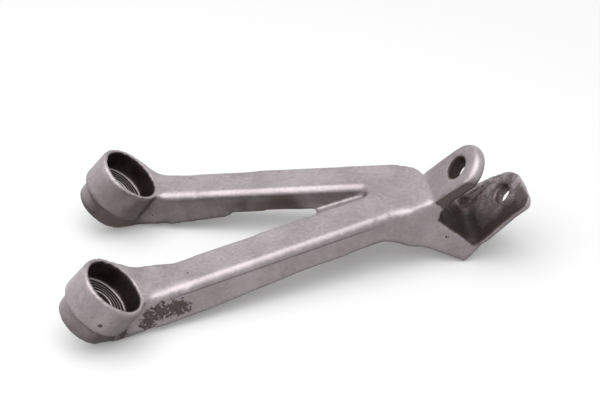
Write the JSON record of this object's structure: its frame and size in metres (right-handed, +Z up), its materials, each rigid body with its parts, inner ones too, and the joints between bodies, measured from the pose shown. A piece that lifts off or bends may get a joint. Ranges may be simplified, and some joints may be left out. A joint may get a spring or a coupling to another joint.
{
  "type": "motorcycle footrest hanger",
  "caption": "Cast aluminium hanger for a folding motorcycle footrest: a V of two arms from counterbored bolt bosses to a forked hinge end.",
  "frame": {"origin": "centre of the bounding box at its lowest level, the ground the part lies on", "axes": "+X from the bolt bosses towards the forked end, +Y from the near boss to the far boss, +Z up as the part lies"},
  "size_m": [0.172, 0.1006, 0.047],
  "materials": {
    "cast_aluminium": "bead-blasted casting with machined seats, slightly worn"
  },
  "bodies": {
    "root": {"footrest_hanger": "cast_aluminium"}
  },
  "joints": []
}
